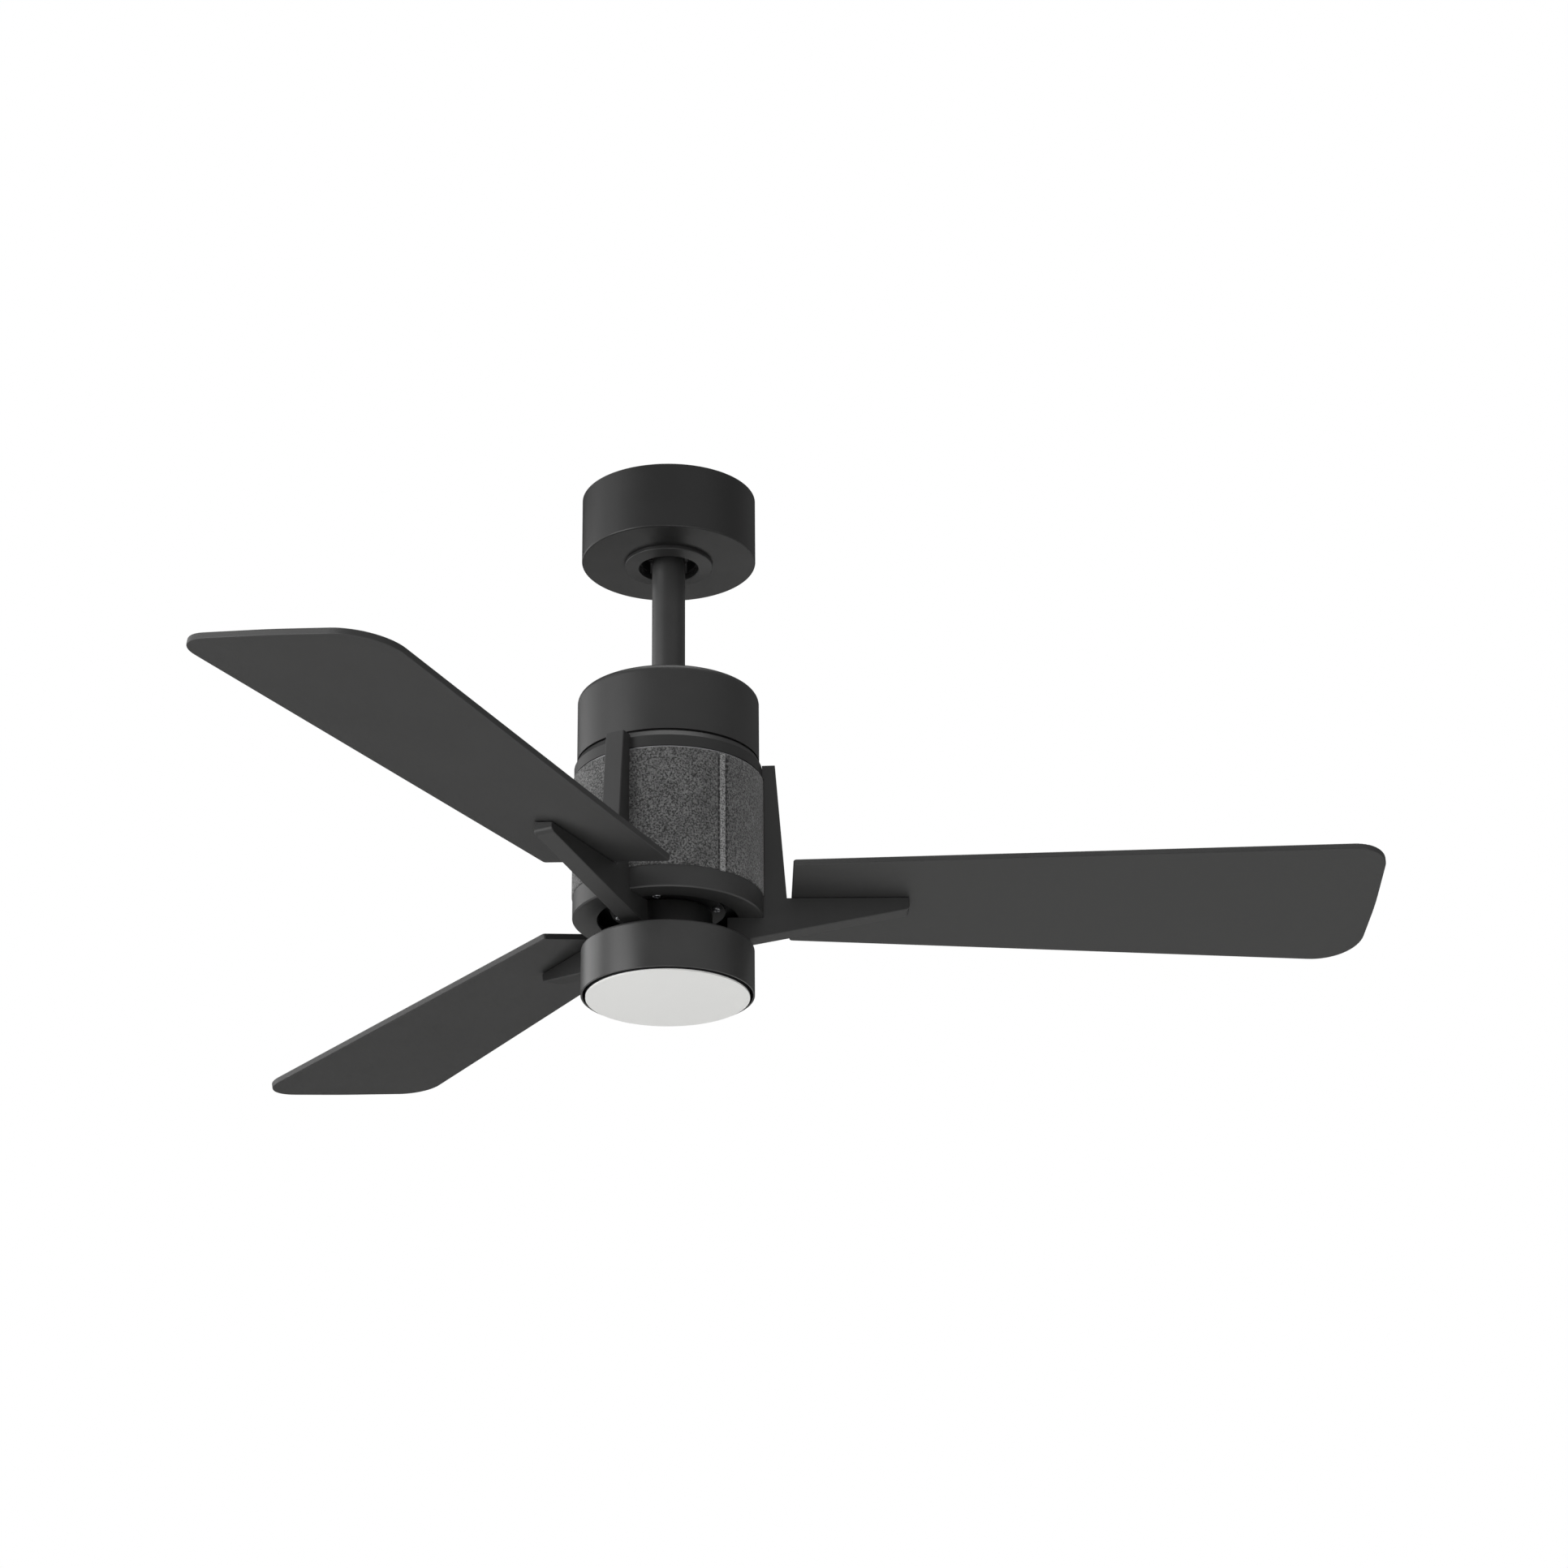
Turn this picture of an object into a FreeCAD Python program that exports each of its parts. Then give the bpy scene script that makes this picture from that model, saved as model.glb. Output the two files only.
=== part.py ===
import FreeCAD, Part
import math
import os

from FreeCAD import Placement, Rotation, Vector

# Three-blade ceiling fan with an LED light, hung from a ball on a short downrod.
# Millimetres. The origin is the centre of the ceiling plane, under which the fan hangs:
# +Z is up, so every height below is negative. +X points along the first blade arm.

# ---- driving dimensions: the outside of the object
CANOPY_R = 70.3
CANOPY_BOTTOM = -56.0
CANOPY_GAP = 0.6              # the canopy's rim stays this far under the ceiling
CANOPY_ROUND = 1.3
CANOPY_RING_R = 35.6
CANOPY_RING_HOLE_R = 24.0
CANOPY_RING_EDGE = -59.0        # the ring's underside at its rim, sloping down to its hole
CANOPY_RING_BOTTOM = -60.8
ROD_R = 13.35                 # 3/4 inch steel pipe
HOUSING_R = 72.4
HOUSING_TOP = -176.3
HOUSING_BOTTOM = -232.5
HOUSING_ROUND = 5.9
DRUM_TOP = -234.5             # the top of everything that turns
TRIM_R = 74.6
TRIM_BEVEL_H = 4.5
LEATHER_R = 75.8
LEATHER_TOP = -249.0
LEATHER_BOTTOM = -348.0
LEATHER_THICK = 1.7
BOTTOM_RING_R = 75.0
BOTTOM_RING_TOP = -348.2
BOTTOM_RING_BOTTOM = -365.9
BOTTOM_RING_HOLE_R = 55.2
NECK_R = 35.0
LIGHT_R = 67.9
LIGHT_TOP = -389.7
LIGHT_BOTTOM = -428.7
LIGHT_ROUND = 2.5
LENS_R = 64.1
LENS_BOTTOM = -431.6
LENS_ROUND = 1.2
SHEET = 1.2                   # thickness of the pressed and spun covers

# ---- driving dimensions: blades and the arms that carry them
BLADES = 3
ARM_AZIMUTH = 0.4             # the first arm, in degrees from +X
ARM_THICK = 16.0
BLADE_THICK = 5.0
BLADE_PITCH = 10.4            # the leading edge is the higher one
BLADE_RISE = 0.47             # the blade climbs this many degrees towards its tip
BLADE_AXIS_Z = -350.9         # where the blade's lower face would meet the fan's axis
PAD_THICK = 0.8
BLADE_ROOT_X = 97.0
ROOT_LEAD = 56.0
ROOT_TRAIL = 58.0
TIP_LEAD_X = 558.8
TIP_LEAD = 78.0
TIP_TRAIL_X = 554.8
TIP_TRAIL = 93.0
ROOT_CORNER_R = 2.5
TIP_LEAD_R = 26.0
TIP_TRAIL_R = 38.0
TIP_BOW = 2.6                 # the tip's edge stands out this much in its middle
TIP_BOW_R = 500.0
BLADE_EDGE_R = 0.8
BLADE_SCREW_X = (112.0, 140.0, 168.0)
ARM_TOP = -236.5
ARM_TOP_X = 84.6
ARM_ELBOW_X = 93.4
ARM_TIP_X = 189.4
ARM_TIP_BOTTOM = -358.2
ARM_TIP_ROUND = 4.0
ARM_INNER_X = 46.5
ARM_EDGE_R = 0.9
ARM_UNDERSIDE_SLOPE = 0.2045

# ---- driving dimensions: hanger ball, motor, bearings, light
BALL_Z = -30.0
BALL_R = 26.0
SEAT_R = 27.8
LINER_R = 27.65
LINER_BORE_R = 26.15
SLOT_SPACING = 88.9           # 3 1/2 inch, the outlet box's screw spacing
SLOT_LENGTH = 12.0
SLOT_R = 2.6
SHAFT_R = 10.0
SHAFT_BORE_R = 5.0
STATOR_R = 55.3
STATOR_TOP = -270.0
STATOR_BOTTOM = -310.0
STATOR_TEETH = 12
MAGNETS = 14
BEARING_OUT_R = 21.0
BEARING_WIDTH = 12.0
UPPER_BEARING_TOP = -238.0
LOWER_BEARING_TOP = -340.0
BALLS_PER_BEARING = 9
BALL_DIAMETER = 6.35
RACE_GROOVE_R = 3.3
RACE_THICK = 3.5
SLIP = 0.03                   # gap between a shaft and what is pushed onto it
SCREW_R = 1.75                # M3.5, the thread used for nearly every fixing
SCREW_HOLE_R = 2.2            # its clearance hole
FULL = 360.0

ORIGIN = Vector(0, 0, 0)
UP = Vector(0, 0, 1)
ALONG_X = Vector(1, 0, 0)
ALONG_Y = Vector(0, 1, 0)
PARTS = {}


# ---- shape helpers
def in_section(a, b):
    """A point of a section through the fan's axis: distance from the axis and height."""
    return Vector(a, 0, b)


def in_plan(a, b):
    return Vector(a, b, 0)


def outline(corners, place):
    """A closed wire through corners given as (a, b) or (a, b, corner radius)."""
    points = [place(c[0], c[1]) for c in corners]
    radii = [c[2] if len(c) > 2 else 0.0 for c in corners]
    starts, ends, middles = [], [], []
    for i, corner in enumerate(points):
        to_last = (points[i - 1] - corner).normalize()
        to_next = (points[(i + 1) % len(points)] - corner).normalize()
        half = to_last.getAngle(to_next) / 2
        reach = radii[i] / math.tan(half)
        bisector = to_last + to_next
        starts.append(corner + to_last * reach)
        ends.append(corner + to_next * reach)
        if radii[i]:
            bisector.normalize()
            middles.append(corner + bisector * (radii[i] / math.sin(half) - radii[i]))
        else:
            middles.append(corner)
    edges = []
    for i in range(len(points)):
        if radii[i]:
            edges.append(Part.Arc(starts[i], middles[i], ends[i]).toShape())
        following = starts[(i + 1) % len(points)]
        if ends[i].distanceToPoint(following) > 1e-6:
            edges.append(Part.LineSegment(ends[i], following).toShape())
    return Part.Wire(edges)


def turned(corners):
    """A solid of revolution about the fan's axis."""
    return Part.Face(outline(corners, in_section)).revolve(ORIGIN, UP, FULL)


def plate(corners, bottom, thickness):
    """A flat plate, its outline given in plan."""
    face = Part.Face(outline(corners, in_plan))
    face.translate(Vector(0, 0, bottom))
    return face.extrude(Vector(0, 0, thickness))


def disc(radius, bottom, top, x=0.0, y=0.0):
    return Part.makeCylinder(radius, top - bottom, Vector(x, y, bottom), UP)


def ring(inner, outer, bottom, top):
    return disc(outer, bottom, top).cut(disc(inner, bottom - 1, top + 1))


def rod_x(radius, start, end, z, y=0.0):
    return Part.makeCylinder(radius, end - start, Vector(start, y, z), ALONG_X)


def rod_y(radius, start, end, z, x=0.0):
    return Part.makeCylinder(radius, end - start, Vector(x, start, z), ALONG_Y)


def block(x, y, z):
    """A box from three (low, high) pairs."""
    return Part.makeBox(x[1] - x[0], y[1] - y[0], z[1] - z[0], Vector(x[0], y[0], z[0]))


def ball(radius, z):
    return Part.makeSphere(radius, Vector(0, 0, z))


def turn(shape, degrees):
    """A copy of the shape, turned about the fan's axis."""
    copy = shape.copy()
    copy.rotate(ORIGIN, UP, degrees)
    return copy


def around(shape, count, start=0.0):
    """The shape repeated around the fan's axis."""
    return [turn(shape, start + i * FULL / count) for i in range(count)]


def wedge(inner, outer, bottom, top, degrees):
    """A stretch of a ring, centred on +X."""
    face = Part.Face(
        outline([(inner, bottom), (outer, bottom), (outer, top), (inner, top)], in_section)
    )
    return turn(face.revolve(ORIGIN, UP, degrees), -degrees / 2)


def pan_screw(shank_r, length, head_r, head_h):
    """A screw with its head under z = 0 and its shank going up from there."""
    head = turned([(0, 0), (0, -head_h), (head_r, -head_h, head_h * 0.6), (head_r, 0)])
    recess = block((-head_r * 0.6, head_r * 0.6), (-0.5, 0.5), (-head_h, -head_h * 0.5))
    cross = recess.copy()
    cross.rotate(ORIGIN, UP, 90)
    shank = disc(shank_r, 0, length)
    return head.fuse(shank).cut(recess).cut(cross).removeSplitter()


def placed(shape, x, y, z, axis=UP):
    """A copy of the shape with its +Z turned to axis, then moved."""
    copy = shape.copy()
    copy.Placement = Placement(Vector(x, y, z), Rotation(UP, axis)).multiply(copy.Placement)
    return copy


def keep(node, *shapes):
    """Files one sub-part under its node's name."""
    PARTS[node] = shapes[0] if len(shapes) == 1 else Part.makeCompound(list(shapes))


# ---- on the ceiling
PLATE_THICK = 2.5
PLATE_HALF_X = 62.0
PLATE_HALF_Y = 18.0
LEG_OUT_X = 34.0
LEG_HALF_Y = 16.0
SEAT_TOP = -38.0
SEAT_HOLE_R = 22.2
CANOPY_SCREW_X = 29.0
CANOPY_SCREW_R = 1.95
GROUND_SCREW_X = 56.0
GROUND_SCREW_R = 2.0
TAB_HALF_Y = 1.5
GROOVE_HALF_Y = 5.2
LINER_NOTCH_HALF_Y = 5.8
GROOVE_BOTTOM_R = 23.0
SEAT_BOTTOM = CANOPY_BOTTOM + SHEET


def slot_cutter(x):
    """The cutter for one mounting slot, centred on x and running along X."""
    half = SLOT_LENGTH / 2 - SLOT_R
    low, high = -PLATE_THICK - 1, 1
    middle = block((x - half, x + half), (-SLOT_R, SLOT_R), (low, high))
    return middle.fuse([disc(SLOT_R, low, high, x - half), disc(SLOT_R, low, high, x + half)])


def hanger_bracket():
    """Pressed bracket: slotted top plate, two legs and the open ring that the ball sits in."""
    x, y = PLATE_HALF_X, PLATE_HALF_Y
    top = plate([(-x, -y, 6), (x, -y, 6), (x, y, 6), (-x, y, 6)], -PLATE_THICK, PLATE_THICK)
    leg_x = (LEG_OUT_X - PLATE_THICK, LEG_OUT_X)
    leg = block(leg_x, (-LEG_HALF_Y, LEG_HALF_Y), (SEAT_TOP - 2, -PLATE_THICK))
    seat = ring(SEAT_HOLE_R, LEG_OUT_X, SEAT_BOTTOM, SEAT_TOP).cut(ball(SEAT_R, BALL_Z))
    entry = block((-ROD_R - 1.5, ROD_R + 1.5), (0, 60), (SEAT_BOTTOM - 1, SEAT_TOP + 1))
    seat = seat.cut(entry)
    tab_shell = ball(SEAT_R + 0.4, BALL_Z).cut(ball(GROOVE_BOTTOM_R + 0.5, BALL_Z))
    tab_space = block((-40, 0), (-TAB_HALF_Y, TAB_HALF_Y), (BALL_Z - 14, BALL_Z - 10))
    tab = tab_shell.common(tab_space)
    bracket = top.fuse([leg, turn(leg, 180), seat, tab]).removeSplitter()
    for side in (-1, 1):
        bracket = bracket.cut(slot_cutter(side * SLOT_SPACING / 2))
        thread = disc(CANOPY_SCREW_R, SEAT_BOTTOM - 1, SEAT_BOTTOM + 10, side * CANOPY_SCREW_X)
        bracket = bracket.cut(thread)
    wires = block((-14, 14), (-9, 9), (-PLATE_THICK - 1, 1))
    ground = disc(GROUND_SCREW_R, -PLATE_THICK - 1, 1, GROUND_SCREW_X)
    return bracket.cut(wires).cut(ground)


def canopy():
    """Spun cup that hides the bracket."""
    rim = -CANOPY_GAP
    inner = CANOPY_R - SHEET
    hole = CANOPY_RING_HOLE_R + 0.4
    floor = CANOPY_BOTTOM + SHEET
    cup = turned([
        (CANOPY_R, rim), (CANOPY_R, CANOPY_BOTTOM, CANOPY_ROUND), (hole, CANOPY_BOTTOM),
        (hole, floor), (inner, floor, CANOPY_ROUND - SHEET), (inner, rim),
    ])
    for side in (-1, 1):
        screw_hole = disc(SCREW_HOLE_R, CANOPY_BOTTOM - 1, floor + 1, side * CANOPY_SCREW_X)
        cup = cup.cut(screw_hole)
    return cup


def canopy_ring():
    """Channel ring that snaps over the canopy screws' heads and hides them."""
    top, edge, low = CANOPY_BOTTOM - 0.05, CANOPY_RING_EDGE, CANOPY_RING_BOTTOM
    inside, outside, web = CANOPY_RING_HOLE_R, CANOPY_RING_R, 1.3
    roof = edge + 1.1
    return turned([
        (outside, top), (outside, edge, 0.8), (inside, low, 0.8), (inside, top),
        (inside + web, top), (inside + web, roof), (outside - web, roof), (outside - web, top),
    ])


def make_ceiling_parts():
    keep("hanger_bracket", hanger_bracket())
    keep("canopy", canopy())
    keep("canopy_ring", canopy_ring())
    screw = pan_screw(CANOPY_SCREW_R - SLIP, 9.5, 3.4, 1.7)
    keep("canopy_screws", *[placed(screw, side * CANOPY_SCREW_X, 0, CANOPY_BOTTOM) for side in (-1, 1)])
    ground = pan_screw(GROUND_SCREW_R - SLIP, PLATE_THICK - 0.5, 4.0, 2.4)
    keep("ground_screw", placed(ground, GROUND_SCREW_X, 0, -PLATE_THICK))
    shell = ball(LINER_R, BALL_Z).cut(ball(LINER_BORE_R, BALL_Z))
    liner = shell.common(disc(40, BALL_Z - 16.5, SEAT_TOP - 0.2))
    notch = block((-40, 0), (-LINER_NOTCH_HALF_Y, LINER_NOTCH_HALF_Y), (-60, 0))
    keep("ball_liner", liner.cut(notch))


# ---- hanger ball and downrod
BALL_TOP = BALL_Z + 16.0
BALL_FLOOR = BALL_Z - 20.0
CROSS_PIN_Z = BALL_Z + 8.0
CROSS_PIN_R = 3.0
CROSS_PIN_HALF = 21.0
SET_SCREW_Z = BALL_Z - 6.0
ROD_TOP = -8.0
ROD_WALL = 2.1
ROD_BOTTOM = -205.8
YOKE_TOP = HOUSING_TOP - SHEET - 0.05
YOKE_BOTTOM = -228.0
YOKE_R = 20.0
YOKE_FLANGE_R = 34.0
YOKE_FOOT_R = 27.0
YOKE_FLANGE_THICK = 3.5
YOKE_FOOT_THICK = 4.0
COTTER_X = 23.5
COTTER_R = 0.8
SET_SCREW_R = 2.5
YOKE_SET_R = 3.0
ROD_STOP = -206.0
SHAFT_TOP = -210.0
CLEVIS_Z = -193.0
CLEVIS_R = 3.0
CLEVIS_HALF = 24.0
YOKE_SET_Z = -200.5


def hanger_ball():
    """Ball with a bore for the rod, a seat for the cross pin and a groove that stops it turning."""
    body = ball(BALL_R, BALL_Z).common(disc(40, BALL_FLOOR, BALL_TOP))
    body = body.cut(disc(ROD_R + SLIP, -80, 0))
    pin_way = block(
        (-CROSS_PIN_HALF - 0.5, CROSS_PIN_HALF + 0.5),
        (-CROSS_PIN_R - 0.15, CROSS_PIN_R + 0.15), (CROSS_PIN_Z, BALL_TOP + 1),
    )
    pin_seat = rod_x(CROSS_PIN_R + 0.15, -CROSS_PIN_HALF - 0.5, CROSS_PIN_HALF + 0.5, CROSS_PIN_Z)
    groove = ball(BALL_R + 1, BALL_Z).cut(ball(GROOVE_BOTTOM_R, BALL_Z))
    groove = groove.common(block((-40, 0), (-GROOVE_HALF_Y, GROOVE_HALF_Y), (-60, 0)))
    thread = rod_y(SET_SCREW_R, ROD_R - 1, BALL_R + 1, SET_SCREW_Z)
    return body.cut([pin_way, pin_seat, groove, thread])


def downrod():
    rod = ring(ROD_R - ROD_WALL, ROD_R, ROD_BOTTOM, ROD_TOP)
    rod = rod.cut(rod_x(CROSS_PIN_R + SLIP, -20, 20, CROSS_PIN_Z))
    return rod.cut(rod_x(CLEVIS_R + SLIP, -20, 20, CLEVIS_Z))


def motor_yoke():
    """Cast coupling: a flange for the housing, a socket for the rod and a foot on the shaft."""
    flange_low = YOKE_TOP - YOKE_FLANGE_THICK
    foot_top = YOKE_BOTTOM + YOKE_FOOT_THICK
    body = turned([
        (SHAFT_BORE_R + 1, YOKE_TOP), (YOKE_FLANGE_R, YOKE_TOP, 1), (YOKE_FLANGE_R, flange_low),
        (YOKE_R, flange_low, 2), (YOKE_R, foot_top, 2), (YOKE_FOOT_R, foot_top),
        (YOKE_FOOT_R, YOKE_BOTTOM), (SHAFT_BORE_R + 1, YOKE_BOTTOM),
    ])
    body = body.cut(disc(ROD_R + SLIP, ROD_STOP, 0))
    body = body.cut(disc(SHAFT_R + SLIP, YOKE_BOTTOM - 1, SHAFT_TOP))
    body = body.cut(rod_x(CLEVIS_R + SLIP, -30, 30, CLEVIS_Z))
    body = body.cut(rod_y(YOKE_SET_R, -30, 30, YOKE_SET_Z))
    for screw in around(disc(SCREW_R, YOKE_TOP - 5, YOKE_TOP + 1, HOUSING_SCREW_X), 3, 30):
        body = body.cut(screw)
    for screw in around(disc(SCREW_R, YOKE_BOTTOM - 1, YOKE_BOTTOM + 5, BASE_SCREW_X), 3, 30):
        body = body.cut(screw)
    return body


def clevis_pin():
    head = rod_x(4.6, -CLEVIS_HALF - 2.5, -CLEVIS_HALF + 3.9, CLEVIS_Z)
    pin = rod_x(CLEVIS_R, -CLEVIS_HALF - 1, CLEVIS_HALF + 3, CLEVIS_Z).fuse(head)
    cotter_hole = disc(COTTER_R + 0.1, CLEVIS_Z - 5, CLEVIS_Z + 5, COTTER_X)
    return pin.cut(cotter_hole).removeSplitter()


def cotter_pin():
    """Split pin through the clevis pin's end: an eye and two legs spread a little."""
    legs = disc(COTTER_R, CLEVIS_Z - 7, CLEVIS_Z + 5, COTTER_X)
    eye = Part.makeTorus(2.2, COTTER_R, Vector(COTTER_X, 0, CLEVIS_Z + 6.5), ALONG_X)
    return legs.fuse(eye)


def set_screw(length, radius):
    socket = disc(radius * 0.5, length - 2.0, length + 1)
    return disc(radius - SLIP, 0, length).cut(socket)


def make_hanging_parts():
    keep("hanger_ball", hanger_ball())
    keep("ball_cross_pin", rod_x(CROSS_PIN_R, -CROSS_PIN_HALF, CROSS_PIN_HALF, CROSS_PIN_Z))
    keep("ball_set_screw", placed(set_screw(9.0, SET_SCREW_R), 0, ROD_R + 0.05, SET_SCREW_Z, ALONG_Y))
    keep("downrod", downrod())
    keep("motor_yoke", motor_yoke())
    keep("clevis_pin", clevis_pin())
    keep("cotter_pin", cotter_pin())
    screw = placed(set_screw(7.5, YOKE_SET_R), 0, ROD_R + 0.05, YOKE_SET_Z, ALONG_Y)
    keep("yoke_set_screws", screw, turn(screw, 180))


# ---- fixed housing and its electronics
HOUSING_SCREW_X = 26.0
BASE_SCREW_X = 23.0
BASE_TOP = YOKE_BOTTOM - 0.1
BASE_THICK = 1.5
BOARD_TOP = -218.0
BOARD_THICK = 1.6
BOARD_OUT_R = 66.0
BOARD_IN_R = 31.0
STANDOFF_X = 60.0


def upper_housing():
    wall = HOUSING_R - SHEET
    cup = turned([
        (HOUSING_R, HOUSING_BOTTOM), (HOUSING_R, HOUSING_TOP, HOUSING_ROUND),
        (ROD_R + 0.35, HOUSING_TOP), (ROD_R + 0.35, HOUSING_TOP - SHEET),
        (wall, HOUSING_TOP - SHEET, HOUSING_ROUND - SHEET), (wall, HOUSING_BOTTOM),
    ])
    return cup.cut(around(disc(SCREW_HOLE_R, HOUSING_TOP - 3, HOUSING_TOP + 1, HOUSING_SCREW_X), 3, 30))


def base_plate():
    plate_body = ring(SHAFT_R + 0.3, HOUSING_R - SHEET - 0.1, BASE_TOP - BASE_THICK, BASE_TOP)
    holes = around(disc(SCREW_HOLE_R, BASE_TOP - 3, BASE_TOP + 1, BASE_SCREW_X), 3, 30)
    holes += around(disc(1.5, BASE_TOP - 3, BASE_TOP + 1, STANDOFF_X), 3, 90)
    holes.append(disc(5.0, BASE_TOP - 3, BASE_TOP + 1, 0, 45))
    return plate_body.cut(holes)


def board_components():
    """Tall capacitors, an inductor, power stages and small chips on the motor's driver board."""
    base = BOARD_TOP + 0.02
    pieces = [turn(disc(8.0, base, base + 25, 48), angle) for angle in (35, 60)]
    pieces += [turn(disc(5.0, base, base + 14, 48), angle) for angle in (82, 98, 114)]
    pieces.append(turn(ring(4.5, 9.5, base, base + 9).translated(Vector(48, 0, 0)), 150))
    for angle in (185, 200, 215, 230):
        pieces.append(turn(block((52, 56), (-5, 5), (base, base + 16)), angle))
    pieces.append(turn(block((40, 56), (-9, 9), (base, base + 3)), 265))
    for angle in (290, 305, 320):
        pieces.append(turn(block((42, 50), (-4, 4), (base, base + 1.6)), angle))
    pieces.append(turn(block((50, 62), (-8, 8), (base, base + 10)), 345))
    return pieces


def make_housing_parts():
    keep("upper_housing", upper_housing())
    screw = pan_screw(SCREW_R - SLIP, 4.0, 3.6, 2.2)
    down = placed(screw, HOUSING_SCREW_X, 0, HOUSING_TOP, Vector(0, 0, -1))
    up = placed(screw, BASE_SCREW_X, 0, BASE_TOP - BASE_THICK)
    keep("housing_screws", *around(down, 3, 30), *around(up, 3, 30))
    keep("base_plate", base_plate())
    spacer = disc(3.0, BASE_TOP + 0.02, BOARD_TOP - BOARD_THICK - 0.02, STANDOFF_X)
    keep("board_standoffs", *around(spacer, 3, 90))
    keep("control_board", ring(BOARD_IN_R, BOARD_OUT_R, BOARD_TOP - BOARD_THICK, BOARD_TOP))
    keep("board_components", *board_components())


# ---- motor: fixed shaft and stator
SHAFT_BOTTOM = -376.0
NECK_TOP = -360.3
NECK_ROOF = 3.0
CORE_HUB_R = 22.0
TOOTH_WIDTH = 7.0
SHOE_IN_R = 50.5
COIL_IN_R = 30.0
COIL_OUT_R = 49.5
COIL_HALF_W = 7.0
COIL_OVERHANG = 4.5


def stator_core():
    """Stack of laminations: a hub with one T-shaped tooth per coil."""
    low, high = STATOR_BOTTOM, STATOR_TOP
    tooth = block((CORE_HUB_R - 2, SHOE_IN_R + 2), (-TOOTH_WIDTH / 2, TOOTH_WIDTH / 2), (low, high))
    shoe = wedge(SHOE_IN_R, STATOR_R, low, high, 24)
    hub = ring(SHAFT_R + SLIP, CORE_HUB_R, low, high)
    return hub.fuse(around(tooth.fuse(shoe), STATOR_TEETH)).removeSplitter()


def coil():
    """The winding round one tooth."""
    radial = (COIL_IN_R, COIL_OUT_R)
    outside = block(
        radial, (-COIL_HALF_W, COIL_HALF_W), (STATOR_BOTTOM - COIL_OVERHANG, STATOR_TOP + COIL_OVERHANG)
    )
    outside = outside.makeFillet(2.5, [e for e in outside.Edges if abs(e.tangentAt(0).x) > 0.9])
    half = TOOTH_WIDTH / 2 + 0.2
    inside = block((COIL_IN_R - 1, COIL_OUT_R + 1), (-half, half), (STATOR_BOTTOM - 0.2, STATOR_TOP + 0.2))
    return outside.cut(inside)


def bearing_groove(top):
    """The ring-shaped cutter for the balls' track."""
    middle = (SHAFT_R + BEARING_OUT_R) / 2
    return Part.makeTorus(middle, RACE_GROOVE_R, Vector(0, 0, top - BEARING_WIDTH / 2), UP)


def inner_race(top):
    return ring(SHAFT_R + SLIP, SHAFT_R + RACE_THICK, top - BEARING_WIDTH, top).cut(bearing_groove(top))


def outer_race(top):
    race = ring(BEARING_OUT_R - RACE_THICK, BEARING_OUT_R - SLIP, top - BEARING_WIDTH, top)
    return race.cut(bearing_groove(top))


def ball_cage(top):
    """The balls of one bearing, held in a thin ring."""
    middle = (SHAFT_R + BEARING_OUT_R) / 2
    z = top - BEARING_WIDTH / 2
    cage = ring(middle - 0.9, middle + 0.9, z - 4.2, z + 4.2)
    one = Part.makeSphere(BALL_DIAMETER / 2, Vector(middle, 0, z))
    return cage.fuse(around(one, BALLS_PER_BEARING))


def make_motor_core():
    shaft = ring(SHAFT_BORE_R, SHAFT_R, SHAFT_BOTTOM, SHAFT_TOP - 0.1)
    keep("stator_shaft", shaft)
    keep("stator_core", stator_core())
    keep("stator_windings", *around(coil(), STATOR_TEETH))
    tops = (UPPER_BEARING_TOP, LOWER_BEARING_TOP)
    keep("bearing_inner_races", *[inner_race(top) for top in tops])
    keep("bearing_outer_races", *[outer_race(top) for top in tops])
    keep("bearing_balls", *[ball_cage(top) for top in tops])


# ---- rotor: everything that turns
BELL_R = 73.9
BELL_HOLE_R = 19.0
BELL_THICK = 4.0
TOP_BELL_TOP = DRUM_TOP - 13.7
BOTTOM_BELL_TOP = BOTTOM_RING_TOP
BOTTOM_BELL_LOW = BOTTOM_BELL_TOP - BELL_THICK
HUB_R = 27.0
TRIM_HOLE_R = 29.0
TRIM_WALL = 2.6
TRIM_THICK = 2.0
TRIM_LIP_R = 69.6              # a lip that rises inside the housing, so no light shows through the gap
TRIM_LIP_THICK = 1.4
TRIM_LIP_TOP = HOUSING_BOTTOM + 1.8
TRIM_BOTTOM = TOP_BELL_TOP + 0.2
IRON_OUT_R = 63.5
IRON_IN_R = 60.0
MAGNET_IN_R = 56.0
BOLT_X = 67.3
BOLT_R = 2.0
BOSS_R = 46.0
RETAINER_R = 45.0
RETAINER_TOP = -357.0
RETAINER_THICK = 2.0
RETAINER_SCREW_X = 39.2
RETAINER_SCREW_AZIMUTH = -13.0
LIP_THICK = 3.0
ARM_SCREW_X = (59.0, 66.8)
ARM_TOP_SCREW_Z = -243.6
RING_STEP_R = BELL_R + 0.1


def rotor_top_bell():
    """Plate with a hub for the upper bearing, closed above the bearing by a shoulder."""
    top = TOP_BELL_TOP
    bell = turned([
        (BELL_HOLE_R, UPPER_BEARING_TOP + 1.1), (HUB_R, UPPER_BEARING_TOP + 1.1, 1), (HUB_R, top, 2),
        (BELL_R, top), (BELL_R, top - BELL_THICK), (BEARING_OUT_R, top - BELL_THICK),
        (BEARING_OUT_R, UPPER_BEARING_TOP), (BELL_HOLE_R, UPPER_BEARING_TOP),
    ])
    return bell.cut(around(disc(BOLT_R, top - 10, top + 1, BOLT_X), 6, 30))


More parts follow.
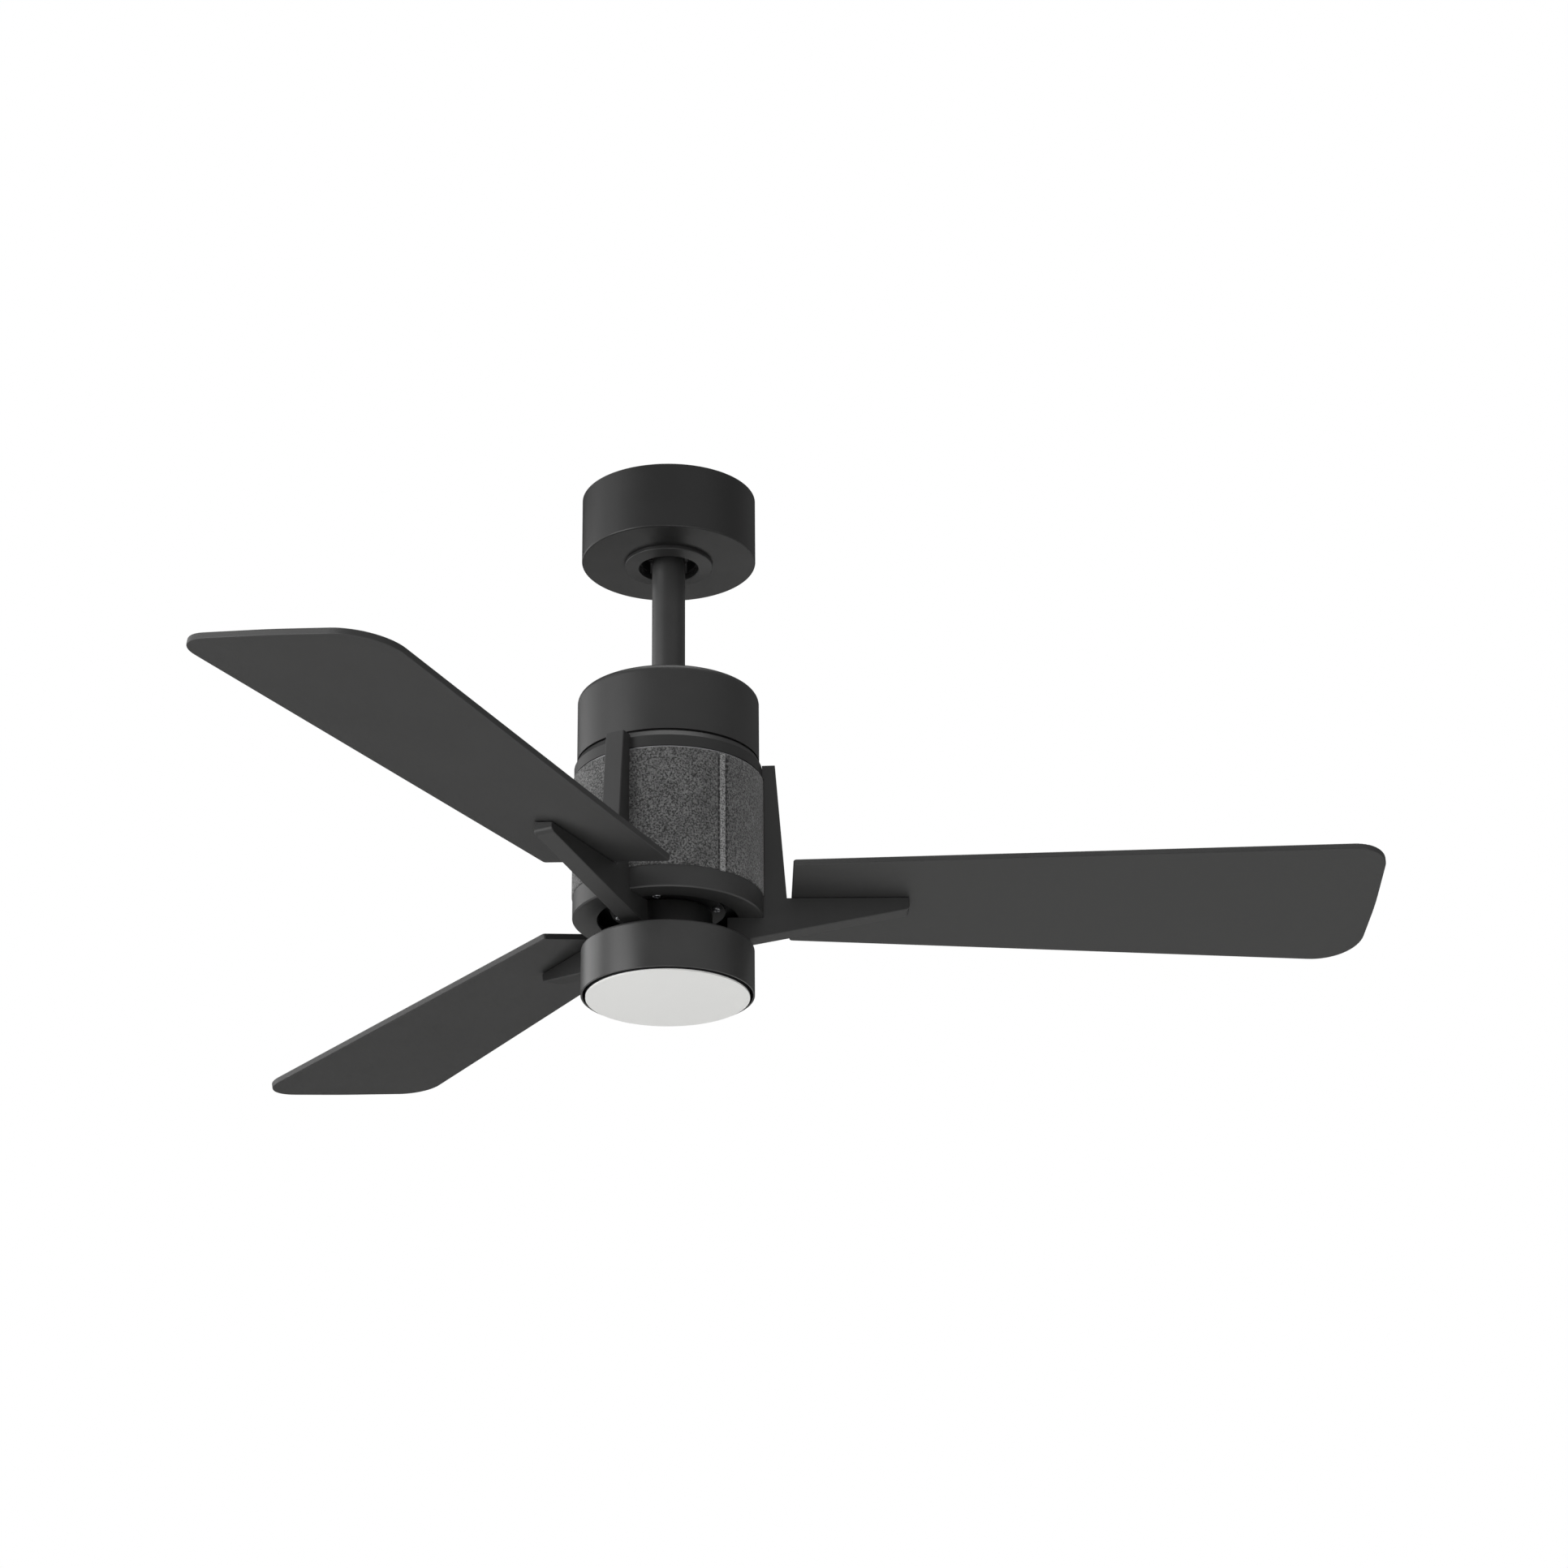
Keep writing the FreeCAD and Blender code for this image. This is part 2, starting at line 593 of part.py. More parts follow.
def rotor_bottom_bell():
    """Plate with a hub for the lower bearing and a boss below for the bearing's retainer."""
    top = BOTTOM_BELL_TOP
    low = BOTTOM_BELL_LOW
    bell = turned([
        (BELL_HOLE_R, LOWER_BEARING_TOP + 3), (HUB_R, LOWER_BEARING_TOP + 3, 1), (HUB_R, top, 2),
        (BELL_R, top), (BELL_R, low), (BOSS_R, low), (BOSS_R, RETAINER_TOP, 0.8),
        (BEARING_OUT_R, RETAINER_TOP), (BEARING_OUT_R, LOWER_BEARING_TOP),
        (BELL_HOLE_R, LOWER_BEARING_TOP),
    ])
    holes = around(disc(BOLT_R + 0.2, low - 1, top + 1, BOLT_X), 6, 30)
    holes += around(disc(SCREW_R, RETAINER_TOP - 1, top - 0.3, RETAINER_SCREW_X), 4, RETAINER_SCREW_AZIMUTH)
    return bell.cut(holes)


def bearing_retainer():
    """Plate under the lower bearing, with a short collar that reaches up to its outer race."""
    collar_top = LOWER_BEARING_TOP - BEARING_WIDTH - 0.05
    body = ring(BELL_HOLE_R - 0.5, RETAINER_R, RETAINER_TOP - RETAINER_THICK, RETAINER_TOP - 0.02)
    collar = ring(BELL_HOLE_R - 0.5, BEARING_OUT_R - 0.1, RETAINER_TOP - 1, collar_top)
    body = body.fuse(collar).removeSplitter()
    hole = disc(SCREW_HOLE_R, RETAINER_TOP - 5, RETAINER_TOP + 1, RETAINER_SCREW_X)
    return body.cut(around(hole, 4, RETAINER_SCREW_AZIMUTH))


def trim_ring():
    """Bevelled cap at the top of the turning drum."""
    bevel_x = HOUSING_R
    inner = TRIM_R - TRIM_WALL
    lip_inside = TRIM_LIP_R - TRIM_LIP_THICK
    cap = turned([
        (TRIM_HOLE_R, DRUM_TOP), (lip_inside, DRUM_TOP), (lip_inside, TRIM_LIP_TOP),
        (TRIM_LIP_R, TRIM_LIP_TOP), (TRIM_LIP_R, DRUM_TOP),
        (bevel_x, DRUM_TOP), (TRIM_R, DRUM_TOP - TRIM_BEVEL_H),
        (TRIM_R, TRIM_BOTTOM, 0.4), (inner, TRIM_BOTTOM), (inner, DRUM_TOP - TRIM_THICK),
        (TRIM_HOLE_R, DRUM_TOP - TRIM_THICK),
    ])
    return cap.cut(around(rod_x(SCREW_HOLE_R, 60, 80, ARM_TOP_SCREW_Z), BLADES, ARM_AZIMUTH))


def bottom_ring():
    """Ring under the leather, with a lip that the blade arms are screwed to."""
    low, top = BOTTOM_RING_BOTTOM, BOTTOM_RING_TOP
    wall = RING_STEP_R - 3
    body = turned([
        (BOTTOM_RING_R, top), (BOTTOM_RING_R, low + 1), (BOTTOM_RING_R - 1, low),
        (BOTTOM_RING_HOLE_R + 0.6, low), (BOTTOM_RING_HOLE_R, low + 0.6),
        (BOTTOM_RING_HOLE_R, low + LIP_THICK), (wall, low + LIP_THICK),
        (wall, BOTTOM_BELL_LOW - 0.2), (RING_STEP_R, BOTTOM_BELL_LOW - 0.2), (RING_STEP_R, top),
    ])
    holes = []
    for x in ARM_SCREW_X:
        holes += around(disc(SCREW_HOLE_R, low - 1, low + LIP_THICK + 1, x), BLADES, ARM_AZIMUTH)
    return body.cut(holes)


def make_rotor_parts():
    keep("rotor_top_bell", rotor_top_bell())
    keep("rotor_bottom_bell", rotor_bottom_bell())
    keep("bearing_retainer", bearing_retainer())
    small = pan_screw(SCREW_R - SLIP, 8.0, 3.3, 2.2)
    retainer_screw = placed(small, RETAINER_SCREW_X, 0, RETAINER_TOP - RETAINER_THICK)
    keep("retainer_screws", *around(retainer_screw, 4, RETAINER_SCREW_AZIMUTH))
    iron_top = TOP_BELL_TOP - BELL_THICK - 0.05
    keep("rotor_iron_ring", ring(IRON_IN_R + 0.05, IRON_OUT_R, STATOR_BOTTOM - 8, iron_top))
    magnet = wedge(MAGNET_IN_R, IRON_IN_R, STATOR_BOTTOM, STATOR_TOP, 22)
    keep("magnets", *around(magnet, MAGNETS))
    bolt_length = TOP_BELL_TOP - BOTTOM_BELL_LOW
    bolt = placed(pan_screw(BOLT_R - SLIP, bolt_length, 3.6, 2.4), BOLT_X, 0, BOTTOM_BELL_LOW)
    keep("through_bolts", *around(bolt, 6, 30))
    keep("trim_ring", trim_ring())
    sleeve_top = TOP_BELL_TOP - BELL_THICK - 0.05
    keep("drum_sleeve", ring(BELL_R - 2.4, BELL_R, BOTTOM_BELL_TOP + 0.05, sleeve_top))
    keep("leather_band", ring(LEATHER_R - LEATHER_THICK, LEATHER_R, LEATHER_BOTTOM, LEATHER_TOP))
    keep("bottom_ring", bottom_ring())


# ---- blades and their arms, made along +X and then turned into place
def on_blade(shape):
    """Moves a shape from the blade's own flat frame to its pitched place over the first arm."""
    pitch = Rotation(ALONG_X, -BLADE_PITCH)
    rise = Rotation(ALONG_Y, -BLADE_RISE)
    copy = shape.copy()
    copy.Placement = Placement(Vector(0, 0, BLADE_AXIS_Z), rise.multiply(pitch)).multiply(copy.Placement)
    return copy


def underside(x):
    """The height of the arm's sloping lower edge at distance x from the axis."""
    return ARM_TIP_BOTTOM - (ARM_TIP_X - x) * ARM_UNDERSIDE_SLOPE


def flat_blade():
    bow_x = (TIP_LEAD_X + TIP_TRAIL_X) / 2 + TIP_BOW
    bow_y = (TIP_TRAIL - TIP_LEAD) / 2
    body = plate([
        (BLADE_ROOT_X, -ROOT_LEAD, ROOT_CORNER_R), (TIP_LEAD_X, -TIP_LEAD, TIP_LEAD_R),
        (bow_x, bow_y, TIP_BOW_R), (TIP_TRAIL_X, TIP_TRAIL, TIP_TRAIL_R),
        (BLADE_ROOT_X, ROOT_TRAIL, ROOT_CORNER_R),
    ], 0, BLADE_THICK)
    rims = [e for e in body.Edges if e.BoundBox.ZLength < 0.01]
    body = body.makeFillet(BLADE_EDGE_R, rims)
    return body.cut([disc(SCREW_HOLE_R, -1, BLADE_THICK + 1, x) for x in BLADE_SCREW_X])


def drum_envelope():
    """What the arm's inner side is shaped to: trim ring, leather and bottom ring."""
    low = BOTTOM_RING_BOTTOM - 0.1
    gap = 0.1
    return turned([
        (0, low), (BOTTOM_RING_R + gap, low), (BOTTOM_RING_R + gap, BOTTOM_RING_TOP),
        (LEATHER_R + gap, BOTTOM_RING_TOP), (LEATHER_R + gap, LEATHER_TOP + 0.7),
        (TRIM_R + gap, LEATHER_TOP + 0.7), (TRIM_R + gap, DRUM_TOP + 10), (0, DRUM_TOP + 10),
    ])


def is_outer_edge(edge):
    """True for the edges of the arm's sides that stay in the open: outside the fin and under the boom."""
    middle = edge.CenterOfMass
    box = edge.BoundBox
    on_side = box.YLength < 0.01 and abs(abs(middle.y) - ARM_THICK / 2) < 0.01
    on_fin = middle.x > ARM_TOP_X - 1 and middle.z > BLADE_AXIS_Z - 2 and box.ZLength > 20
    under = middle.z < BOTTOM_RING_BOTTOM - 1 and box.XLength > 20
    at_tip = middle.x > ARM_TIP_X - 3 and middle.z < BLADE_AXIS_Z - 2
    return on_side and (on_fin or under or at_tip)


def blade_arm():
    """Cast arm: an upright fin on the drum, a foot under it and a boom under the blade."""
    half = ARM_THICK / 2
    foot_top = BOTTOM_RING_BOTTOM - 0.1
    inside = TRIM_R - 4
    fin = outline([
        (inside, ARM_TOP - 0.5), (ARM_TOP_X, ARM_TOP), (ARM_ELBOW_X, BLADE_AXIS_Z - 1),
        (ARM_ELBOW_X + 4, BLADE_AXIS_Z - 6), (ARM_ELBOW_X + 4, underside(ARM_ELBOW_X + 4)),
        (ARM_INNER_X, underside(ARM_INNER_X)), (ARM_INNER_X, foot_top), (inside, foot_top),
    ], in_section)
    boom = outline([
        (ARM_ELBOW_X - 4, BLADE_AXIS_Z + 12), (ARM_TIP_X, BLADE_AXIS_Z + 12),
        (ARM_TIP_X, ARM_TIP_BOTTOM, ARM_TIP_ROUND), (ARM_ELBOW_X - 4, underside(ARM_ELBOW_X - 4)),
    ], in_section)
    width = Vector(0, ARM_THICK, 0)
    solids = []
    for wire in (fin, boom):
        face = Part.Face(wire)
        face.translate(Vector(0, -half, 0))
        solids.append(face.extrude(width))
    above_blade = on_blade(block((0, ARM_TIP_X + 20), (-40, 40), (-PAD_THICK - 0.02, 60)))
    arm = solids[0].fuse(solids[1].cut(above_blade)).cut(drum_envelope()).removeSplitter()
    arm = arm.makeFillet(ARM_EDGE_R, [e for e in arm.Edges if is_outer_edge(e)])
    holes = [on_blade(disc(SCREW_R, -10, 1, x)) for x in BLADE_SCREW_X]
    holes += [disc(SCREW_R, foot_top - 10, foot_top + 1, x) for x in ARM_SCREW_X]
    holes.append(rod_x(SCREW_R, TRIM_R - 1, TRIM_R + 6, ARM_TOP_SCREW_Z))
    return arm.cut(holes).removeSplitter()


def make_blade_parts():
    blade = on_blade(flat_blade())
    arm = blade_arm()
    for i in range(BLADES):
        azimuth = ARM_AZIMUTH + i * FULL / BLADES
        keep("blade_%d" % (i + 1), turn(blade, azimuth))
        keep("blade_arm_%d" % (i + 1), turn(arm, azimuth))
    pad_y = ARM_THICK / 2 - 1
    pad = block((BLADE_ROOT_X + 2, ARM_TIP_X - 3), (-pad_y, pad_y), (-PAD_THICK, -0.02))
    pad = pad.cut([disc(SCREW_HOLE_R, -2, 1, x) for x in BLADE_SCREW_X])
    keep("blade_pads", *around(on_blade(pad), BLADES, ARM_AZIMUTH))
    down = Vector(0, 0, -1)
    fixing = pan_screw(SCREW_R - SLIP, 14.0, 4.2, 2.4)
    row = Part.makeCompound([placed(fixing, x, 0, BLADE_THICK + 0.02, down) for x in BLADE_SCREW_X])
    keep("blade_screws", *[s for group in around(on_blade(row), BLADES, ARM_AZIMUTH) for s in group.Solids])
    foot_screw = pan_screw(SCREW_R - SLIP, 10.0, 3.4, 2.2)
    lip_top = BOTTOM_RING_BOTTOM + LIP_THICK
    feet = []
    for x in ARM_SCREW_X:
        feet += around(placed(foot_screw, x, 0, lip_top, down), BLADES, ARM_AZIMUTH)
    keep("arm_foot_screws", *feet)
    head_x = TRIM_R - TRIM_WALL
    top_screw = placed(pan_screw(SCREW_R - SLIP, 7.5, 3.2, 2.2), head_x - 0.25, 0, ARM_TOP_SCREW_Z, ALONG_X)
    keep("arm_top_screws", *around(top_screw, BLADES, ARM_AZIMUTH))


# ---- light kit
NECK_WALL = 2.4
NECK_FOOT_R = 20.0
NECK_SCREW_X = 26.0
NUT_FLATS = 30.0
LIGHT_WALL = 1.5
POST_X = 46.0
LED_SCREW_R = 1.4
LED_BOARD_R = 60.0
LED_BOARD_BOTTOM = -411.0
LED_BOARD_THICK = 1.6
BEZEL_TOP = -414.6
BEZEL_BOTTOM = -429.4
BEZEL_WALL = 2.2
LENS_THICK = 1.5
LENS_RIM_THICK = 3.0
LENS_DOME_R = 2175.0
LED_RINGS = ((18.0, 8), (38.0, 16))     # radius and count of the LEDs in each circle
LUG_DEGREES = 12.0
LUG_BOTTOM = -417.0
TAB_TOP = -417.3


def light_neck():
    """Fixed cup under the motor that carries the light and passes its leads."""
    body = turned([
        (SHAFT_R + SLIP, NECK_TOP), (NECK_R, NECK_TOP, 1.5), (NECK_R, LIGHT_TOP + 0.02),
        (NECK_FOOT_R, LIGHT_TOP + 0.02), (NECK_FOOT_R, LIGHT_TOP + 4),
        (NECK_R - NECK_WALL, LIGHT_TOP + 4), (NECK_R - NECK_WALL, NECK_TOP - NECK_ROOF),
        (SHAFT_R + SLIP, NECK_TOP - NECK_ROOF),
    ])
    return body.cut(around(disc(SCREW_R, LIGHT_TOP - 1, LIGHT_TOP + 3.8, NECK_SCREW_X), 3, 60))


def shaft_nut():
    across = NUT_FLATS / math.sqrt(3)
    corners = [(across * math.cos(math.radians(60 * i)), across * math.sin(math.radians(60 * i)))
               for i in range(6)]
    nut = plate(corners, NECK_TOP - NECK_ROOF - 8, 7.95)
    return nut.cut(disc(SHAFT_R + SLIP, -500, 0))


def light_ring():
    """Cup round the LED board, with catches inside for the lens."""
    inner = LIGHT_R - LIGHT_WALL
    roof = LIGHT_TOP - LIGHT_WALL
    cup = turned([
        (12, LIGHT_TOP), (LIGHT_R, LIGHT_TOP, LIGHT_ROUND), (LIGHT_R, LIGHT_BOTTOM, 0.4),
        (inner, LIGHT_BOTTOM, 0.4), (inner, roof, LIGHT_ROUND - LIGHT_WALL), (12, roof),
    ])
    catch = wedge(LENS_R + 0.4, inner + 0.2, TAB_TOP - 2.1, TAB_TOP, LUG_DEGREES)
    stop = turn(wedge(LENS_R + 0.4, inner + 0.2, TAB_TOP - 2.1, BEZEL_TOP, 2.5), -LUG_DEGREES / 2 - 2.9)
    cup = cup.fuse(around(catch.fuse(stop), 3, 30))
    holes = around(disc(SCREW_HOLE_R, roof - 1, LIGHT_TOP + 1, NECK_SCREW_X), 3, 60)
    return cup.cut(holes).removeSplitter()


def lens():
    """Frosted cover: a barely domed plate with a short rim that clips into the bezel."""
    rim_out = LENS_R - BEZEL_WALL - 0.02
    top = BEZEL_BOTTOM - 0.02
    floor = LENS_BOTTOM + LENS_THICK + 0.9
    solid = turned([
        (0, LENS_BOTTOM), (LENS_R, LENS_BOTTOM, LENS_ROUND), (LENS_R, top), (rim_out, top),
        (rim_out, top + LENS_RIM_THICK), (rim_out - 1.5, top + LENS_RIM_THICK), (rim_out - 1.5, floor),
        (0, floor),
    ])
    return solid.common(ball(LENS_DOME_R, LENS_BOTTOM + LENS_DOME_R))


def lens_bezel():
    """Black ring round the lens, with three lugs that twist over the catches."""
    body = ring(LENS_R - BEZEL_WALL, LENS_R, BEZEL_BOTTOM, BEZEL_TOP)
    lug = wedge(LENS_R - 1, LENS_R + 1.8, LUG_BOTTOM, BEZEL_TOP, LUG_DEGREES)
    return body.fuse(around(lug, 3, 30)).removeSplitter()


def led_chips():
    """Small square LEDs in two circles under the board."""
    top = LED_BOARD_BOTTOM - 0.02
    chips = []
    for radius, count in LED_RINGS:
        chips += around(block((radius - 1.5, radius + 1.5), (-1.5, 1.5), (top - 0.8, top)), count)
    return chips


def make_light_parts():
    keep("light_neck", light_neck())
    keep("shaft_nut", shaft_nut())
    keep("light_ring", light_ring())
    roof = LIGHT_TOP - LIGHT_WALL
    screw = pan_screw(SCREW_R - SLIP, 5.0, 3.4, 2.2)
    keep("neck_screws", *around(placed(screw, NECK_SCREW_X, 0, roof), 3, 60))
    board_top = LED_BOARD_BOTTOM + LED_BOARD_THICK
    post = disc(3.2, board_top + 0.02, roof - 0.02, POST_X)
    post = post.cut(disc(LED_SCREW_R + SLIP, board_top, board_top + 8, POST_X))
    keep("led_posts", *around(post, 3))
    board = disc(LED_BOARD_R, LED_BOARD_BOTTOM, board_top)
    board = board.cut(around(disc(1.6, LED_BOARD_BOTTOM - 1, board_top + 1, POST_X), 3))
    keep("led_board", board)
    led_screw = placed(pan_screw(LED_SCREW_R, 8.0, 2.8, 1.6), POST_X, 0, LED_BOARD_BOTTOM)
    keep("led_screws", *around(led_screw, 3))
    keep("led_chips", *led_chips())
    driver = plate([(-34, -16, 3), (34, -16, 3), (34, 16, 3), (-34, 16, 3)], board_top + 0.02, 12.5)
    keep("led_driver", driver)
    keep("lens", lens())
    keep("lens_bezel", lens_bezel())


make_ceiling_parts()
make_hanging_parts()
make_housing_parts()
make_motor_core()
make_rotor_parts()
make_blade_parts()
make_light_parts()

os.makedirs("parts", exist_ok=True)
for node, shape in PARTS.items():
    shape.exportStep("parts/%s.step" % node)
    solids = shape.Solids
    print(node, len(solids), "valid" if all(s.isValid() for s in solids) else "INVALID", round(shape.Volume))
print(len(PARTS), "nodes")
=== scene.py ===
import math
import random

import bmesh
import bpy
from mathutils import Matrix, Vector


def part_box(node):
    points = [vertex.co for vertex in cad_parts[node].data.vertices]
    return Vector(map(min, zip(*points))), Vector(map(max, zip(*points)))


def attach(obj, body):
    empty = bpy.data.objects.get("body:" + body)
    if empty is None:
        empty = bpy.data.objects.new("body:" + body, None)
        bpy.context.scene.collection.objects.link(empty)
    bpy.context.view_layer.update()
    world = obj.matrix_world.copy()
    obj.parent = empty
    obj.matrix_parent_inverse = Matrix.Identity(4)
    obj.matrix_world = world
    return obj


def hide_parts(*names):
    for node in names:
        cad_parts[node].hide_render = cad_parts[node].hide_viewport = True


# A three-blade ceiling fan in black, with a stitched leather drum and a flat round light.
# Metres, in the CAD model's frame: the ceiling plane is z = 0 and the fan hangs below it.

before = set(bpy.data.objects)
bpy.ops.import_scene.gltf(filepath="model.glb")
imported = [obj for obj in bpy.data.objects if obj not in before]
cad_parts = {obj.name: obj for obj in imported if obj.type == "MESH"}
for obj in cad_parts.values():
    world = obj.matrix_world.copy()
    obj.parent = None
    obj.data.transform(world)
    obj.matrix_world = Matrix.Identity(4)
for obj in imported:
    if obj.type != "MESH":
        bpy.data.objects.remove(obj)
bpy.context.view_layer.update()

MM = 0.001
BLACK_COAT = (0.018, 0.018, 0.018, 1)
BLADE_BLACK = (0.022, 0.022, 0.022, 1)
BARE_BLACK = (0.012, 0.012, 0.013, 1)
PEEL = 0.04 * MM              # the fine unevenness of a sprayed coat


# ---- camera
# Eye level is well below the fan, so the undersides of the light and the blades show.
CAMERA_AT = Vector((0, -3.1163, -1.5645))
CAMERA_UP_TILT = 0.3992       # radians above the horizon
CAMERA_TURN = 0.0295          # to the right of the fan's axis
CAMERA_ROLL = -0.0092
CAMERA_LENS = 97.79           # on a 36 mm wide frame


def make_camera():
    data = bpy.data.cameras.new("camera")
    data.lens = CAMERA_LENS
    data.sensor_width = 36
    data.clip_start = 0.05
    data.clip_end = 200
    camera = bpy.data.objects.new("camera", data)
    bpy.context.collection.objects.link(camera)
    level = Matrix.Rotation(math.radians(90), 4, "X")
    tilt = Matrix.Rotation(CAMERA_UP_TILT, 4, "X")
    turn = Matrix.Rotation(-CAMERA_TURN, 4, "Z")
    roll = Matrix.Rotation(CAMERA_ROLL, 4, "Z")
    camera.matrix_world = Matrix.Translation(CAMERA_AT) @ turn @ tilt @ level @ roll
    bpy.context.scene.camera = camera


# ---- room and light
ROOM_SIDES = (                # axis, sign, how bright the room is that way
    ("X", 1, 0.24),
    ("Y", -1, 0.47),
)
ROOM_SPAN = (-0.1, 0.9)       # how far round a side's glow reaches: its cosine where it starts and is full
LAMPS = (                     # name, degrees round from +X, degrees up, power
    ("left_high", 180, 35, 6.0),
    ("left_front", 210, 0, 31),
    ("left_back", 150, 10, 15),
    ("front_below", 270, -60, 8),
)
LAMP_AWAY = 2.2               # from the middle of the fan
LAMP_SIZE = 1.5
LAMP_AIM = Vector((0, 0, -0.3))
SKYLIGHT = 2.0                # even light from straight above, watts per square metre
SKYLIGHT_SPREAD = math.radians(40)
FLOOR_Z = -4.6                # low enough for the fan to be seen from below
FLOOR_SIZE = 28


def make_lamps():
    """Square soft lamps, all the same distance from the fan and pointing at it."""
    for name, around, up, power in LAMPS:
        data = bpy.data.lights.new(name, "AREA")
        data.shape = "SQUARE"
        data.size = LAMP_SIZE
        data.energy = power
        lamp = bpy.data.objects.new(name, data)
        bpy.context.collection.objects.link(lamp)
        around, up = math.radians(around), math.radians(up)
        way = Vector((math.cos(up) * math.cos(around), math.cos(up) * math.sin(around), math.sin(up)))
        lamp.location = LAMP_AIM + way * LAMP_AWAY
        lamp.rotation_euler = way.to_track_quat("Z", "Y").to_euler()
        lamp.visible_camera = False


def make_skylight():
    """Soft light from above, for the tops of the blades and the floor."""
    data = bpy.data.lights.new("skylight", "SUN")
    data.energy = SKYLIGHT
    data.angle = SKYLIGHT_SPREAD
    bpy.context.collection.objects.link(bpy.data.objects.new("skylight", data))


def make_world():
    """A room brighter towards some sides than others, and plain white where it is seen."""
    world = bpy.data.worlds.new("studio")
    bpy.context.scene.world = world
    world.use_nodes = True
    tree = world.node_tree
    tree.nodes.clear()
    way = node(tree, "ShaderNodeSeparateXYZ")
    tree.links.new(node(tree, "ShaderNodeTexCoord").outputs["Generated"], way.inputs[0])
    total = None
    for axis, sign, strength in ROOM_SIDES:
        span = (ROOM_SPAN[0] * sign, ROOM_SPAN[1] * sign)
        glow = scaled(tree, way.outputs[axis], 0.0, strength, span)
        if total is None:
            total = glow
            continue
        added = node(tree, "ShaderNodeMath", operation="ADD")
        tree.links.new(total, added.inputs[0])
        tree.links.new(glow, added.inputs[1])
        total = added.outputs[0]
    lit = node(tree, "ShaderNodeBackground")
    tree.links.new(total, lit.inputs["Strength"])
    shown = node(tree, "ShaderNodeBackground")
    shown.inputs["Strength"].default_value = 1.0
    for light in (lit, shown):
        light.inputs["Color"].default_value = (1, 1, 1, 1)
    path = node(tree, "ShaderNodeLightPath")
    mix = node(tree, "ShaderNodeMixShader")
    out = node(tree, "ShaderNodeOutputWorld")
    tree.links.new(path.outputs["Is Camera Ray"], mix.inputs[0])
    tree.links.new(lit.outputs[0], mix.inputs[1])
    tree.links.new(shown.outputs[0], mix.inputs[2])
    tree.links.new(mix.outputs[0], out.inputs["Surface"])


def make_floor():
    bpy.ops.mesh.primitive_plane_add(size=FLOOR_SIZE, location=(0, 0, FLOOR_Z))
    floor = bpy.context.object
    floor.name = "studio_floor"
    material, tree, shader = new_material("studio_floor_paper")
    shader.inputs["Base Color"].default_value = (0.80, 0.80, 0.79, 1)
    shader.inputs["Roughness"].default_value = 0.9
    floor.data.materials.append(material)


# ---- material helpers
CLOUDS = (0.3, 0.7)           # the part of a soft noise over which the colour changes


def new_material(name):
    material = bpy.data.materials.new(name)
    material.use_nodes = True
    tree = material.node_tree
    return material, tree, tree.nodes["Principled BSDF"]


def node(tree, kind, **values):
    made = tree.nodes.new(kind)
    for name, value in values.items():
        setattr(made, name, value)
    return made


def noise(tree, place, scale, detail=3.0, roughness=0.5):
    """Noise with about scale lumps to the metre."""
    made = node(tree, "ShaderNodeTexNoise")
    made.inputs["Scale"].default_value = scale
    made.inputs["Detail"].default_value = detail
    made.inputs["Roughness"].default_value = roughness
    tree.links.new(place, made.inputs["Vector"])
    return made.outputs["Fac"]


def ramp(tree, value, low, high, stops=(0.0, 1.0)):
    """A colour that goes from low to high as value goes from the first stop to the second."""
    made = node(tree, "ShaderNodeValToRGB")
    made.color_ramp.elements[0].position = stops[0]
    made.color_ramp.elements[1].position = stops[1]
    made.color_ramp.elements[0].color = low
    made.color_ramp.elements[1].color = high
    tree.links.new(value, made.inputs["Fac"])
    return made.outputs["Color"]


def scaled(tree, value, low, high, span=(0.0, 1.0)):
    """low to high, smoothly, as value goes over span."""
    made = node(tree, "ShaderNodeMapRange", interpolation_type="SMOOTHSTEP")
    made.inputs["From Min"].default_value = span[0]
    made.inputs["From Max"].default_value = span[1]
    made.inputs["To Min"].default_value = low
    made.inputs["To Max"].default_value = high
    tree.links.new(value, made.inputs["Value"])
    return made.outputs["Result"]


def bump(tree, shader, height, distance, strength=1.0):
    """Bumps as tall as distance, in metres."""
    made = node(tree, "ShaderNodeBump")
    made.inputs["Strength"].default_value = strength
    made.inputs["Distance"].default_value = distance
    tree.links.new(height, made.inputs["Height"])
    tree.links.new(made.outputs["Normal"], shader.inputs["Normal"])


def shade(colour, factor):
    """A colour made lighter or darker."""
    return tuple(c * factor for c in colour[:3]) + (1,)


def object_place(tree):
    return node(tree, "ShaderNodeTexCoord").outputs["Object"]


def coated(name, colour, roughness, peel=PEEL):
    """Powder coat or another even finish: faint mottling, and the fine peel of a sprayed surface."""
    material, tree, shader = new_material(name)
    place = object_place(tree)
    cloudy = noise(tree, place, 22, 4)
    fine = noise(tree, place, 1500, 2)
    low, high = shade(colour, 0.88), shade(colour, 1.12)
    tree.links.new(ramp(tree, cloudy, low, high, CLOUDS), shader.inputs["Base Color"])
    rough = scaled(tree, cloudy, roughness - 0.04, roughness + 0.04)
    tree.links.new(rough, shader.inputs["Roughness"])
    bump(tree, shader, fine, peel, 0.6)
    return material


